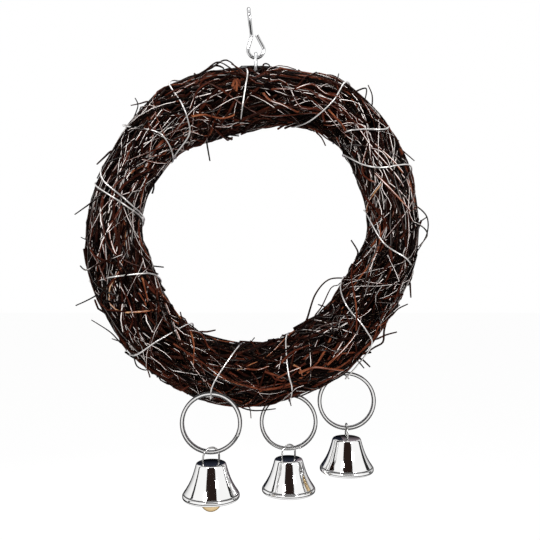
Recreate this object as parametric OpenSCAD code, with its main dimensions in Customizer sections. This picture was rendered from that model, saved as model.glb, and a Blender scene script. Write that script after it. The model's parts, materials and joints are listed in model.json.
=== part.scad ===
// Bird swing: a ring of wound vine twigs that hangs on a steel hook and carries three bells.
// Millimetres. The origin is the seat of the hook's crook, +Z is up and the ring lies in the XZ plane.

/* [Hook and hanging ring] */
// Diameter of the hook's steel wire
hook_wire_d = 2; // [1.6:0.1:2.6]
// Inner radius of the crook that goes over a cage bar
crook_inner_r = 4.5; // [4:0.1:6]
// Height from the crook's seat to the centre of the pear-shaped eye
eye_drop = 22.7; // [21:0.1:28]
// Sideways offset of the eye from the crook's seat
eye_offset = 4.2; // [2:0.1:5]
// Centre-line radius of the eye
eye_r = 4.6; // [4.2:0.1:5.4]
// Centre-line radius of the hanging ring
link_r = 6.25; // [6:0.05:7]
// Diameter of the hanging ring's wire
link_wire_d = 1.8; // [1.4:0.1:2]

/* [Wreath] */
// Radius of the circle that the middle of the bundle follows
wreath_r = 81.7; // [76:0.1:95]
// Radius of the inner bundle of twigs
core_r = 12.4; // [10:0.1:13]
// Thickness of an outer vine
vine_d = 3.6; // [3:0.1:3.8]
// Room between the inner bundle and the outer vines
vine_room = 1; // [0.9:0.05:1.2]
// How far an outer vine wanders sideways, in degrees round the bundle
vine_wander_angle = 1.5; // [0:0.1:2]
// Diameter of the binding wire
wrap_d = 0.9; // [0.7:0.1:1]
// Diameter of a loose shoot at its root
shoot_d = 1.6; // [1.2:0.1:1.8]

/* [Split rings] */
// Outer diameter of a split ring
split_d = 35; // [32:0.5:38]
// Width of the split ring's wire, along the radius
split_band = 2.3; // [2:0.1:2.5]
// Thickness of the split ring's wire, along the axis
split_t = 1.15; // [1:0.05:1.3]
// Room between the two turns of a split ring
split_room = 0.45; // [0.42:0.01:0.5]
// Room between a split ring and the bundle that it hangs beside
split_clear = 1.4; // [1.2:0.1:2.5]

/* [Bells] */
// Diameter of a bell's mouth
bell_d = 32.4; // [30:0.2:34]
// Height of a bell from its rim to its crown
bell_h = 19.5; // [18:0.1:22]
// Wall of the pressed bell
bell_wall = 0.8; // [0.6:0.05:1]
// Diameter of the two holes in the crown
bell_hole_d = 1.7; // [1.5:0.1:2]
// Diameter of the bail's wire
bail_d = 1.1; // [0.9:0.1:1.2]
// Centre-line radius of the bail's arch
bail_r = 5.4; // [5.2:0.1:5.8]
// Height of the bail above the crown
bail_rise = 8.9; // [8:0.1:10]
// Depth of the dip in the bail's crossbar that holds the clapper
bail_dip = 1.5; // [1.3:0.1:2]
// Diameter of the clapper's ball
ball_d = 12; // [10:0.2:12.4]
// Diameter of the clapper's wire
clapper_wire_d = 1; // [0.8:0.1:1.2]
// How far the ball's middle lies below the rim on the left bell
ball_below_long = 1.9; // [0:0.1:3]
// How far the ball's middle lies above the rim on the other two bells
ball_above_short = 2.5; // [1:0.1:4]

/* [Fits] */
// Gap between a hanging piece and what it hangs on
seat_gap = 0.3; // [0.25:0.05:0.4]
// Gap between pieces that are held on one another
rest_gap = 0.05; // [0.03:0.01:0.1]

/* [Hidden] */

// Sides and rings of the swept tubes
wire_sides = 8;
coil_sides = 6;
loop_rings = 24;
wrap_rings = 12;

// The crook runs in the YZ plane, from the angle of its free end to where the shank leaves it
crook_r = crook_inner_r + hook_wire_d / 2;
crook_start_angle = -30;
crook_end_angle = 212;
crook_step_angle = 11;
eye_start_angle = 165;
eye_end_angle = 375;
eye_step_angle = 15;
neck_drop_share = 0.64;
neck_side_share = 0.4;
tip_drop_share = 0.61;
tip_side_share = 1.1;
shank_shares = [1 / 3, 2 / 3, 9 / 10];
neck_shares = [1 / 9, 1 / 2];

// The hanging ring goes through the eye, and its lowest point carries the wreath
link_top_z = -eye_drop - eye_r + hook_wire_d / 2 + seat_gap + link_wire_d / 2;
link_z = link_top_z - link_r;
pivot_z = link_z - link_r;

// The outer vines are one closed lattice of turns round the bundle, cut into four vines
lattice_loops = 18;
vine_loops = [4.75, 4.5, 4.5, 4.25];
loop_twist_angle = 360 + 360 / lattice_loops;
top_turn = 0.25;
vine_end_share = 0.12;
wander_waves = 2.37;
swell_waves = 1.61;
swell_wave_shares = [0.7, 0.3];
vine_path_r = core_r + vine_room + vine_d / 2;
bundle_r = vine_path_r + vine_d / 2;
wreath_x = eye_offset;
wreath_z = pivot_z + link_wire_d / 2 + seat_gap + vine_d / 2 - vine_path_r - wreath_r;

// Where the bundle swells, by the angle round the wreath, as a share of the vines' own radius
swell_shares = [
    [0, 0], [60, 0.04], [82, 0], [98, 0], [118, 0.12], [150, 0], [180, 0.07], [200, 0.15],
    [225, 0.08], [242, 0], [318, 0], [338, 0.08], [360, 0]
];

// Vines beside the hanging ring are pushed apart by this angle, over this reach round the wreath
dodge_angle = 12;
dodge_reach_angle = 45;

// A notch in the inner bundle clears the hanging ring
notch_room = 0.5;
notch_w_share = 0.62;

// Places of the split rings: the middle one's angle round the wreath, how far the other two hang from
// it as shares of a ring's diameter, and each one's angle round the bundle (front is negative)
split_middle_angle = -78.7;
split_spacing_shares = [1.28, 0, 1.065];
split_side_angles = [-50, 32, 26.6];
split_open_angles = [294, 252, 72];
split_first_angle = 40;
split_last_angle = 690;
split_jog_start_angle = 330;
split_jog_span_angle = 60;
split_mid_r = split_d / 2 - split_band / 2;
hang_r = bundle_r + split_clear + split_band + seat_gap + wrap_d / 2;
hang_drop = split_d / 2 - split_band - seat_gap - wrap_d / 2;

// The binding wire's turns: the angle round the wreath at the outer side, then at the inner side
carrying_turns = [2, 3, 4];
wrap_inner_angles = [-156.8, -126.6, -99.1, -70, -24.7, 12.2, 42.3, 50, 68.2, 101, 132, 142, 169.2];
wrap_outer_angles = [-164.9, -135.3, 0, 0, 0, -8.4, 25.2, 44, 59.5, 98, 118.7, 137, 158.8];
wrap_gap = 0.45;
wrap_r_extra = wrap_gap + wrap_d / 2;
wrap_near_angle = 16;

// Loose shoots: angle round the wreath, angle round the bundle near which the shoot leaves its vine,
// span along the wreath in degrees, then how far the tip stands off, as a share of the bundle's radius
shoot_places = [
    [166, -10, 8, 0.5], [197.5, -8, 7, 0.62], [213, -25, -9, 0.42], [113, -12, -8, 0.36],
    [139.5, -15, 9, 0.4], [64, 12, 9, 0.4], [57, -14, -9, 0.62], [17, 10, -12, 0.36],
    [-16, -12, -9, 0.3], [-30, 14, -8, 0.36], [-93, -6, 3.5, 0.5], [-8, 14, 8, 0.3]
];
shoot_steps = 7;
shoot_tip_share = 0.5;

// Bells hang by their bails on the lowest point of the split rings
bail_turn_angles = [52, 48, 0];
bail_room = 0.4;
bail_seat = split_band / 2 + seat_gap + bail_room + bail_d / 2;
bail_arch_z = bail_seat - bail_r;
crown_z = bail_seat + bail_d / 2 - bail_rise;
rim_z = crown_z - bell_h;
crossbar_z = crown_z - bell_wall - rest_gap - bail_d / 2;
clapper_z = crossbar_z - bail_dip;
clapper_eye_r = bail_d / 2 + seat_gap + clapper_wire_d / 2 + rest_gap;
clapper_eye_z = clapper_z + bail_d / 2 + seat_gap + clapper_wire_d / 2 - clapper_eye_r;
bail_corner_share = 0.12;
bail_arch_step_angle = 15;
dip_width_share = 0.42;
dip_floor_share = 0.3;
ball_z = [rim_z - ball_below_long, rim_z + ball_above_short, rim_z + ball_above_short];
ball_bore_share = 0.6;
overrun = 1;

// Half outline of a bell from the middle of the crown to the rim, as shares of its radius and height
bell_shares = [
    [0.47, 0], [0.505, 0.012], [0.53, 0.045], [0.545, 0.09], [0.6, 0.25], [0.68, 0.43],
    [0.77, 0.62], [0.86, 0.8], [0.93, 0.91], [0.985, 0.955], [1, 0.975], [0.99, 1]
];

function unit(v) = v / norm(v);
function tangent(p, i) = unit(p[min(i + 1, len(p) - 1)] - p[max(i - 1, 0)]);
function closed_tangent(p, i) = unit(p[(i + 1) % len(p)] - p[(i + len(p) - 1) % len(p)]);
function square_to(v, t) = unit(v - (v * t) * t);
function wrapped(a) = a - 360 * round(a / 360);
function along(a, b, share) = a + (b - a) * share;
function arc(r, from, to, step) = [
    for (i = [0 : round((to - from) / step)])
        let(a = along(from, to, i / round((to - from) / step)))
        [r * cos(a), r * sin(a)]
];

// A direction square to the path at each point, carried from one point to the next without twist
function carried(p, first) = [
    for (i = 0, s = square_to(first, tangent(p, 0)); i < len(p);
         i = i + 1, s = i < len(p) ? square_to(s, tangent(p, i)) : s) s
];

function tube_points(p, r, sides, first) =
    let(u = carried(p, first))
    [
        for (i = [0 : len(p) - 1], k = [0 : sides - 1])
            let(v = cross(tangent(p, i), u[i]), a = 360 * k / sides, ri = is_list(r) ? r[i] : r)
            p[i] + ri * (u[i] * cos(a) + v * sin(a))
    ];

function wall_faces(n, sides) = [
    for (i = [0 : n - 2], k = [0 : sides - 1], half = [0, 1])
        let(a = i * sides + k, b = i * sides + (k + 1) % sides)
        half == 0 ? [a, b + sides, b] : [a, a + sides, b + sides]
];

function cap_faces(n, sides) = [
    for (k = [1 : sides - 2], end = [0, 1])
        let(s = (n - 1) * sides)
        end == 0 ? [0, k, k + 1] : [s, s + k + 1, s + k]
];

// A closed tube along points, with one radius or one for each point
module tube(p, r, sides, first) {
    polyhedron(
        points = tube_points(p, r, sides, first),
        faces = concat(wall_faces(len(p), sides), cap_faces(len(p), sides)),
        convexity = 8
    );
}

// A tube whose path closes on itself in a plane with the given normal
module closed_tube(p, r, sides, normal) {
    n = len(p);
    points = [
        for (i = [0 : n - 1], k = [0 : sides - 1])
            let(v = cross(closed_tangent(p, i), normal), a = 360 * k / sides)
            p[i] + r * (normal * cos(a) + v * sin(a))
    ];
    faces = [
        for (i = [0 : n - 1], k = [0 : sides - 1], half = [0, 1])
            let(
                j = (i + 1) % n,
                a = i * sides + k,
                b = i * sides + (k + 1) % sides,
                c = j * sides + (k + 1) % sides,
                d = j * sides + k
            )
            half == 0 ? [a, c, b] : [a, d, c]
    ];
    polyhedron(points = points, faces = faces, convexity = 8);
}

// The least gap between two stretches of one tube that are at least skip points apart
function least_gap(p, d, skip) =
    min([for (i = [0 : len(p) - 1 - skip], j = [i + skip : len(p) - 1]) norm(p[i] - p[j])]) - d;

// A place on or round the bundle: angle round the wreath, angle round the bundle, distance from its middle
function at_bundle(around, side, out) =
    let(r = wreath_r + out * cos(side))
    [wreath_x + r * cos(around), out * sin(side), wreath_z + r * sin(around)];
function swell(around) = lookup(around - 360 * floor(around / 360), swell_shares);

// Outer vines
function vine_near_top(turn) = round(turn - top_turn);
function vine_window(turn) =
    let(off = abs(turn - top_turn - vine_near_top(turn)) * 360)
    off >= dodge_reach_angle ? 0 : pow(cos(90 * off / dodge_reach_angle), 2);
function vine_dodge(turn) =
    let(side = wrapped(loop_twist_angle * vine_near_top(turn)))
    abs(side) < 1 || abs(side) > 179 ? 0
    : sign(side) * dodge_angle * (1 - abs(side) / 180) / (1 - 2 / lattice_loops);
function vine_side(turn) =
    let(window = vine_window(turn), wander = vine_wander_angle * sin(360 * turn * wander_waves))
    loop_twist_angle * (turn - top_turn) + vine_dodge(turn) * window + wander * (1 - window);
function vine_out(turn) =
    let(wave = swell_wave_shares[0] + swell_wave_shares[1] * sin(360 * turn * swell_waves))
    vine_path_r * (1 + swell(360 * turn) * wave);
function vine_point(turn) = at_bundle(360 * turn, vine_side(turn), vine_out(turn));
function vine_start(i) = i == 0 ? 0 : vine_start(i - 1) + vine_loops[i - 1];
function vine_path(i) =
    let(first = vine_start(i) * loop_rings, last = vine_start(i + 1) * loop_rings)
    concat(
        [for (k = [first : last - 1]) vine_point(k / loop_rings)],
        [vine_point((last - vine_end_share) / loop_rings)]
    );

// Binding wire
function carried_ring(turn) = search(turn, carrying_turns);
function wrap_inner_before(turn) =
    turn == 0 ? wrap_inner_angles[len(wrap_inner_angles) - 1] - 360 : wrap_inner_angles[turn - 1];
function wrap_outer(turn) =
    let(found = carried_ring(turn))
    len(found) == 0 ? wrap_outer_angles[turn]
    : let(
        i = found[0],
        share = abs(split_side_angles[i]) / 180,
        other = split_side_angles[i] < 0 ? wrap_inner_angles[turn] : wrap_inner_before(turn)
    )
    (split_at(i) - share * other) / (1 - share);
function wrap_around(turn, side) =
    side > 0 ? along(wrap_inner_before(turn), wrap_outer(turn), 1 - side / 180)
    : along(wrap_outer(turn), wrap_inner_angles[turn], -side / 180);
function wrap_point(turn, side) =
    let(around = wrap_around(turn, side))
    at_bundle(
        around, side,
        (vine_path_r * (1 + swell(around)) + vine_d / 2 + wrap_r_extra) / cos(180 / wrap_rings)
    );
function wrap_turn(turn, from) =
    let(found = carried_ring(turn), sides = [for (side = [from : -360 / wrap_rings : -180]) side])
    len(found) == 0 ? [for (side = sides) wrap_point(turn, side)]
    : let(i = found[0], flat = [0, split_band, 0])
    concat(
        [for (side = sides) if (side > split_side_angles[i] + wrap_near_angle) wrap_point(turn, side)],
        [split_pivot(i) + flat, split_pivot(i) - flat],
        [for (side = sides) if (side < split_side_angles[i] - wrap_near_angle) wrap_point(turn, side)]
    );
wrap_path = [
    for (turn = [0 : len(wrap_inner_angles) - 1])
        each wrap_turn(turn, turn == 0 ? 90 : 180 - 360 / wrap_rings)
];

// Split rings
function split_hang_r(i) = wreath_r + hang_r * cos(split_side_angles[i]);
function split_at(i) =
    let(
        a = split_hang_r(1),
        b = split_hang_r(i),
        apart = split_spacing_shares[i] * split_d
    )
    i == 1 ? split_middle_angle
    : split_middle_angle + sign(i - 1) * acos((a * a + b * b - apart * apart) / (2 * a * b));
function split_pivot(i) = at_bundle(split_at(i), split_side_angles[i], hang_r);
function split_centre(i) = split_pivot(i) - [0, 0, hang_drop];
function bell_pivot(i) = split_centre(i) - [0, 0, split_mid_r];
function split_layer(turned) =
    let(share = min(1, max(0, (turned - split_jog_start_angle) / split_jog_span_angle)))
    (split_t + split_room) * (share - 1 / 2);
function split_path(i) =
    let(first = split_open_angles[i] - split_jog_start_angle - split_jog_span_angle / 2)
    [
        for (turned = [split_first_angle : 360 / loop_rings : split_last_angle])
            let(a = first + turned)
            [split_mid_r * cos(a), split_layer(turned), split_mid_r * sin(a)]
    ];
split_section_shares = [[1, 0], [0.6, 1], [-0.6, 1], [-1, 0], [-0.6, -1], [0.6, -1]];

// Loose shoots
function shoot_root(s) =
    let(
        turn = s[0] / 360,
        vines_on = round(wrapped(s[1] - loop_twist_angle * (turn - top_turn)) * lattice_loops / 360)
    )
    turn + vines_on - lattice_loops * floor((turn + vines_on) / lattice_loops);
function vine_chord(turn) =
    let(ring = floor(turn * loop_rings))
    along(
        vine_point(ring / loop_rings), vine_point((ring + 1) / loop_rings), turn * loop_rings - ring
    );
function shoot_path(s) = [
    for (i = [0 : shoot_steps])
        let(
            t = i / shoot_steps,
            turn = shoot_root(s) + s[2] * t / 360,
            on_vine = vine_chord(turn),
            outward = unit(on_vine - at_bundle(360 * turn, 0, 0))
        )
        on_vine + outward * (vine_d / 2 + rest_gap + shoot_d / 2 + bundle_r * s[3] * t * t)
];

module hanging_hook() {
    crook = [
        for (p = arc(crook_r, crook_start_angle, crook_end_angle, crook_step_angle))
            [0, p[0], p[1] - crook_inner_r]
    ];
    eye = [
        for (p = arc(eye_r, eye_start_angle, eye_end_angle, eye_step_angle))
            [eye_offset + p[0], 0, -eye_drop + p[1]]
    ];
    neck = [eye_offset * neck_side_share, 0, -eye_drop * neck_drop_share];
    tip = [eye_offset * tip_side_share, 0, -eye_drop * tip_drop_share];
    crook_foot = crook[len(crook) - 1];
    shank = [for (share = shank_shares) along(crook_foot, neck, share)];
    path = concat(
        [for (p = crook) p + [neck[0] * max(0, -p[2]) / -neck[2], 0, 0]],
        [for (p = shank) [neck[0] * p[2] / neck[2], p[1], p[2]]],
        [for (share = neck_shares) along(neck, eye[0], share)],
        eye,
        [along(eye[len(eye) - 1], tip, 1 / 2), tip]
    );
    color("gainsboro") tube(path, hook_wire_d / 2, wire_sides, [1, 0, 0]);
}

module hanging_ring() {
    color("gainsboro")
        translate([eye_offset, 0, link_z])
            rotate([0, 90, 0])
                rotate_extrude($fn = 96)
                    translate([link_r, 0]) circle(d = link_wire_d, $fn = 32);
}

module inner_twig_bundle() {
    color([0.16, 0.09, 0.07])
        difference() {
            translate([wreath_x, 0, wreath_z])
                rotate([90, 0, 0])
                    rotate_extrude($fn = 180)
                        translate([wreath_r, 0]) circle(r = core_r, $fn = 64);
            translate([eye_offset, 0, link_z])
                rotate([0, 90, 0])
                    cylinder(
                        r = link_r + link_wire_d / 2 + notch_room,
                        h = link_r * 2 * notch_w_share, center = true, $fn = 64
                    );
        }
}

module outer_vine(i) {
    p = vine_path(i);
    echo("least gap of an outer vine to itself", least_gap(p, vine_d, loop_rings / 2));
    color([0.24 + i * 0.03, 0.13, 0.1]) tube(p, vine_d / 2, coil_sides, [0, 1, 0]);
}

module loose_shoots() {
    color([0.3, 0.18, 0.13])
        for (s = shoot_places)
            tube(
                shoot_path(s),
                [for (i = [0 : shoot_steps]) shoot_d / 2 * along(1, shoot_tip_share, i / shoot_steps)],
                coil_sides, [0, 1, 0]
            );
}

module binding_wire() {
    echo("least gap of the binding wire to itself", least_gap(wrap_path, wrap_d, wrap_rings / 2));
    color("silver") tube(wrap_path, wrap_d / 2, coil_sides, [1, 0, 0]);
}

module split_ring(i) {
    p = split_path(i);
    echo("least gap of a split ring to itself", least_gap(p, split_t, loop_rings / 2));
    points = [
        for (q = p, s = split_section_shares)
            q + s[0] * split_band / 2 * unit([q[0], 0, q[2]]) + [0, s[1] * split_t / 2, 0]
    ];
    color("silver")
        translate(split_centre(i))
            polyhedron(
                points = points,
                faces = concat(
                    wall_faces(len(p), len(split_section_shares)),
                    cap_faces(len(p), len(split_section_shares))
                ),
                convexity = 8
            );
}

module at_bell(i) {
    translate(bell_pivot(i)) rotate([0, 0, 90 - bail_turn_angles[i]]) children();
}

module bell_shell(i) {
    outer = [for (s = bell_shares) [s[0] * bell_d / 2, crown_z - s[1] * bell_h]];
    last = len(outer) - 1;
    inner = [
        for (k = [last : -1 : 0])
            [outer[k][0] - bell_wall, min(outer[k][1], crown_z - bell_wall)]
    ];
    color("gainsboro")
        at_bell(i)
            difference() {
                rotate_extrude($fn = 96)
                    polygon(concat([[0, crown_z]], outer, inner, [[0, crown_z - bell_wall]]));
                for (side = [-1, 1])
                    translate([side * bail_r, 0, crown_z - bell_wall - overrun])
                        cylinder(d = bell_hole_d, h = bell_wall + 2 * overrun, $fn = 24);
            }
}

module bell_bail(i) {
    corner = bail_r * bail_corner_share;
    dip = bail_r * dip_width_share;
    arch = [for (p = arc(bail_r, 0, 180, bail_arch_step_angle)) [p[0], 0, p[1] + bail_arch_z]];
    under = [
        [-bail_r, 0, crossbar_z + corner * 2], [-bail_r, 0, crossbar_z + corner],
        [-bail_r + corner / 3, 0, crossbar_z + corner / 3], [-bail_r + corner, 0, crossbar_z],
        [-dip, 0, crossbar_z], [-dip * dip_floor_share, 0, clapper_z],
        [dip * dip_floor_share, 0, clapper_z],
        [dip, 0, crossbar_z], [bail_r - corner, 0, crossbar_z],
        [bail_r - corner / 3, 0, crossbar_z + corner / 3], [bail_r, 0, crossbar_z + corner],
        [bail_r, 0, crossbar_z + corner * 2]
    ];
    color("silver")
        at_bell(i) closed_tube(concat(arch, under), bail_d / 2, wire_sides, [0, 1, 0]);
}

module clapper_wire(i) {
    stem_top = clapper_eye_z - clapper_eye_r;
    color("darkgoldenrod")
        at_bell(i) {
            translate([0, 0, clapper_eye_z])
                rotate([0, 90, 0])
                    rotate_extrude($fn = 48)
                        translate([clapper_eye_r, 0]) circle(d = clapper_wire_d, $fn = 24);
            translate([0, 0, ball_z[i]])
                cylinder(d = clapper_wire_d, h = stem_top - ball_z[i], $fn = 24);
        }
}

module clapper_ball(i) {
    color("goldenrod")
        at_bell(i)
            difference() {
                translate([0, 0, ball_z[i]]) sphere(d = ball_d, $fn = 64);
                translate([0, 0, ball_z[i] - rest_gap])
                    cylinder(d = clapper_wire_d + rest_gap, h = ball_d * ball_bore_share, $fn = 24);
            }
}

hanging_hook();
hanging_ring();
inner_twig_bundle();
outer_vine(0);  // outer_vine_1
outer_vine(1);  // outer_vine_2
outer_vine(2);  // outer_vine_3
outer_vine(3);  // outer_vine_4
loose_shoots();
binding_wire();
split_ring(0);  // split_ring_left
split_ring(1);  // split_ring_middle
split_ring(2);  // split_ring_right
bell_shell(0);  // bell_shell_left
bell_shell(1);  // bell_shell_middle
bell_shell(2);  // bell_shell_right
bell_bail(0);  // bell_bail_left
bell_bail(1);  // bell_bail_middle
bell_bail(2);  // bell_bail_right
clapper_wire(0);  // clapper_wire_left
clapper_wire(1);  // clapper_wire_middle
clapper_wire(2);  // clapper_wire_right
clapper_ball(0);  // clapper_ball_left
clapper_ball(1);  // clapper_ball_middle
clapper_ball(2);  // clapper_ball_right
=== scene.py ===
"""Looks for the bird swing: a ring of vine twigs on a wire hook, with three bells on split rings.

Sizes are in millimetres and angles in degrees, and MM turns them into Blender's metres. The wreath
lies in the XZ plane with its front towards -Y. A place on the bundle is given by its angle round
the wreath (0 is right, 90 is up) and its angle round the bundle (0 is the outer edge, -90 the
front, 180 the inner edge).
"""

import json
import logging
import math
import random
from dataclasses import dataclass
from enum import Enum
from typing import Optional, Sequence

import bmesh
import bpy
from bmesh.types import BMesh
from bpy.types import Material, Node, NodeSocket, NodeTree, Object
from mathutils import Matrix, Vector


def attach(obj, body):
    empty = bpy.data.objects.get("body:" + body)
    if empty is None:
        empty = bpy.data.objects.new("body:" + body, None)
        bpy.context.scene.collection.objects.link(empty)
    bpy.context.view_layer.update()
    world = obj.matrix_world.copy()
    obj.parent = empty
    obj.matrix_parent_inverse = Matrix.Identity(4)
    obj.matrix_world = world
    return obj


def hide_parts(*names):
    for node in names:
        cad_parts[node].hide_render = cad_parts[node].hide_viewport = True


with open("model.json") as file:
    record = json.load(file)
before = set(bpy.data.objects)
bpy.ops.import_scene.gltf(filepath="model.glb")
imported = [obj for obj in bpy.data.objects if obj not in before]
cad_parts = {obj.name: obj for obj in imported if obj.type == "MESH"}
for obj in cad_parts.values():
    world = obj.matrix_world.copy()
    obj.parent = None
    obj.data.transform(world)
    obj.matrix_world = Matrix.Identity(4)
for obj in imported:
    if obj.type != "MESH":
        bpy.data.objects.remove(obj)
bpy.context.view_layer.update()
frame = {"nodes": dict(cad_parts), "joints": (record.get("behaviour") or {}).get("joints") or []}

Corners = Sequence[tuple[float, float]]
Finishes = dict[str, Material]

LOG = logging.getLogger("bird_swing")
MM = 0.001
WELD = 1e-7
WHITE = (1.0, 1.0, 1.0, 1.0)
WREATH_CENTRE = Vector((4.2, 0, -131.5))


class Body(Enum):
    """The bodies of the swing that do not come in threes."""

    HANGER = "hanger"
    LINK = "link"
    WREATH = "wreath"


class Side(Enum):
    """The three places where a bell hangs."""

    LEFT = "left"
    MIDDLE = "middle"
    RIGHT = "right"


def joint(name: str) -> dict:
    """Finds a joint of the frame by its name."""
    return next(j for j in frame["joints"] if j["name"] == name)


def joint_place(name: str) -> Vector:
    """Gives a joint's place in millimetres."""
    return Vector(joint(name)["pos_m"]) / MM


def flat(place: Vector) -> Vector:
    """Drops a place or a direction onto the XZ plane."""
    return Vector((place.x, 0, place.z))


def fade(away: float, reach: float) -> float:
    """Falls smoothly from 1 at no distance to 0 at a reach and past it."""
    return 0.5 + 0.5 * math.cos(math.pi * min(max(away, 0.0) / reach, 1.0))


def curve_value(a: float, b: float, c: float, d: float, t: float) -> float:
    """Reads a Catmull-Rom curve through a, b, c and d at a share t of the way from b to c."""
    slopes = 2 * b + (c - a) * t + (2 * a - 5 * b + 4 * c - d) * t * t
    return 0.5 * (slopes + (3 * b - a - 3 * c + d) * t ** 3)


def smoothed(points: Sequence[Vector], step: float, closed: bool = False) -> list[Vector]:
    """Runs a smooth line through points.

    Args:
        points: The points, in order.
        step: The longest distance between two points of the result.
        closed: Whether the line comes back to its start.

    Returns:
        Points on the line, without a repeat of the first one.
    """
    count = len(points)
    result = []
    for i in range(count if closed else count - 1):
        around = [
            points[(i + k) % count] if closed else points[min(max(i + k, 0), count - 1)]
            for k in (-1, 0, 1, 2)
        ]
        pieces = max(1, math.ceil((around[2] - around[1]).length / step))
        for k in range(pieces):
            result.append(
                Vector(curve_value(*(v[axis] for v in around), k / pieces) for axis in range(3))
            )
    if not closed:
        result.append(points[-1].copy())
    return result


def arc(centre: tuple, radius: float, angles: tuple, steps: int) -> Corners:
    """Gives the points of an arc in a plane.

    Args:
        centre: The two coordinates of its centre.
        radius: Its radius.
        angles: Its first and its last angle.
        steps: How many steps it has.

    Returns:
        The two coordinates of each point.
    """
    first, last = angles
    turned = [math.radians(first + (last - first) * i / steps) for i in range(steps + 1)]
    return [(centre[0] + radius * math.cos(a), centre[1] + radius * math.sin(a)) for a in turned]


def square_sides(
    points: Sequence[Vector],
    closed: bool,
    first: Optional[Vector] = None,
    faced: Optional[Sequence[Vector]] = None,
    least: float = 0.15,
) -> list[tuple[Vector, Vector]]:
    """Gives two directions square to a line at each point, without twist or turned to a given side.

    Args:
        points: The line.
        closed: Whether the line comes back to its start.
        first: A direction that the first one starts near, or None for any.
        faced: The direction to turn the first one to at each point, or None to carry it along.
        least: The share of it square to the line below which it is carried all the same.

    Returns:
        A pair of directions for each point.
    """
    count = len(points)
    sides = []
    up = first
    for i in range(count):
        if closed:
            before, after = i - 1, (i + 1) % count
        else:
            before, after = max(i - 1, 0), min(i + 1, count - 1)
        tangent = (points[after] - points[before]).normalized()
        if up is None:
            up = tangent.orthogonal()
        wanted = faced[i] if faced else up
        square = wanted - wanted.dot(tangent) * tangent
        if faced and sides and square.length < least * wanted.length:
            square = up - up.dot(tangent) * tangent
        up = square.normalized()
        sides.append((up, tangent.cross(up)))
    return sides


def round_section(corners: int) -> Corners:
    """Gives the corners of a round section of radius one."""
    turned = [math.tau * k / corners for k in range(corners)]
    return [(math.cos(angle), math.sin(angle)) for angle in turned]


def bar_section(wide: float, thick: float, corners: int, squareness: float) -> Corners:
    """Gives the corners of a flattened bar with rounded edges.

    Args:
        wide: The half width.
        thick: The half thickness.
        corners: How many corners it has.
        squareness: 1 is an ellipse, and less is squarer.

    Returns:
        A pair of sizes for each corner.
    """
    return [
        (
            wide * math.copysign(abs(u) ** squareness, u),
            thick * math.copysign(abs(v) ** squareness, v),
        )
        for u, v in round_section(corners)
    ]


def rolled_tube(
    points: Sequence[Vector],
    radii: Sequence[float],
    section: Corners,
    closed: bool = False,
    first: Optional[Vector] = None,
    faced: Optional[Sequence[Vector]] = None,
) -> BMesh:
    """Rolls a flat grid round a line and welds it into a tube.

    Its UV map has the share of the way round in U, from the first corner, and the length along in
    V, in millimetres.

    Args:
        points: The line, in millimetres.
        radii: The factor on the section at each point.
        section: The section's corners.
        closed: Whether the line comes back to its start.
        first: A direction that the section's first corner starts near.
        faced: The direction that it is turned to at each point, or None to carry it along.

    Returns:
        The tube, in metres.
    """
    sides = square_sides(points, closed, first, faced)
    rings = len(points) + (1 if closed else 0)
    lengths = [0.0]
    for i in range(1, rings):
        lengths.append(lengths[-1] + (points[i % len(points)] - points[i - 1]).length)
    bm = bmesh.new()
    uv = bm.loops.layers.uv.new("along")
    bmesh.ops.create_grid(
        bm, x_segments=len(section), y_segments=rings - 1, size=1.0, calc_uvs=True
    )
    for face in bm.faces:
        face.smooth = True
        for loop in face.loops:
            share = (loop.vert.co.x + 1) / 2
            ring = round((loop.vert.co.y + 1) / 2 * (rings - 1))
            loop[uv].uv = (share, lengths[ring])
    for vert in bm.verts:
        corner = round((vert.co.x + 1) / 2 * len(section)) % len(section)
        ring = round((vert.co.y + 1) / 2 * (rings - 1)) % len(points)
        across, over = section[corner]
        u, v = sides[ring]
        vert.co = (points[ring] + radii[ring] * (u * across + v * over)) * MM
    bmesh.ops.remove_doubles(bm, verts=bm.verts[:], dist=WELD)
    if not closed:
        bmesh.ops.holes_fill(bm, edges=[e for e in bm.edges if e.is_boundary], sides=0)
    bmesh.ops.recalc_face_normals(bm, faces=bm.faces[:])
    return bm


def wire(
    points: Sequence[Vector], diameter: float, corners: int, closed: bool = False,
    first: Optional[Vector] = None,
) -> BMesh:
    """Rolls a round wire of one diameter along a line, and takes the rest as rolled_tube does."""
    return rolled_tube(points, [diameter / 2] * len(points), round_section(corners), closed, first)


def turned_shape(outline: Corners, centre: Vector, steps: int) -> BMesh:
    """Spins an outline round the Z axis through a centre.

    Args:
        outline: Radius and height of each point, in millimetres.
        centre: The place of radius and height nought.
        steps: How many steps the full turn has.

    Returns:
        The turned shape, in metres.
    """
    bm = bmesh.new()
    verts = [bm.verts.new((centre + Vector((r, 0, z))) * MM) for r, z in outline]
    edges = [bm.edges.new(pair) for pair in zip(verts, verts[1:])]
    bmesh.ops.spin(
        bm, geom=verts + edges, cent=centre * MM, axis=(0, 0, 1), dvec=(0, 0, 0),
        angle=math.tau, steps=steps, use_merge=True, use_duplicate=False,
    )
    bmesh.ops.remove_doubles(bm, verts=bm.verts[:], dist=WELD)
    bmesh.ops.recalc_face_normals(bm, faces=bm.faces[:])
    for face in bm.faces:
        face.smooth = True
    return bm


def added(target: BMesh, part: BMesh) -> None:
    """Adds one shape to another and frees it.

    Args:
        target: The shape that grows.
        part: The shape that is added.
    """
    mesh = bpy.data.meshes.new("part")
    part.to_mesh(mesh)
    part.free()
    target.from_mesh(mesh)
    bpy.data.meshes.remove(mesh)


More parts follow.
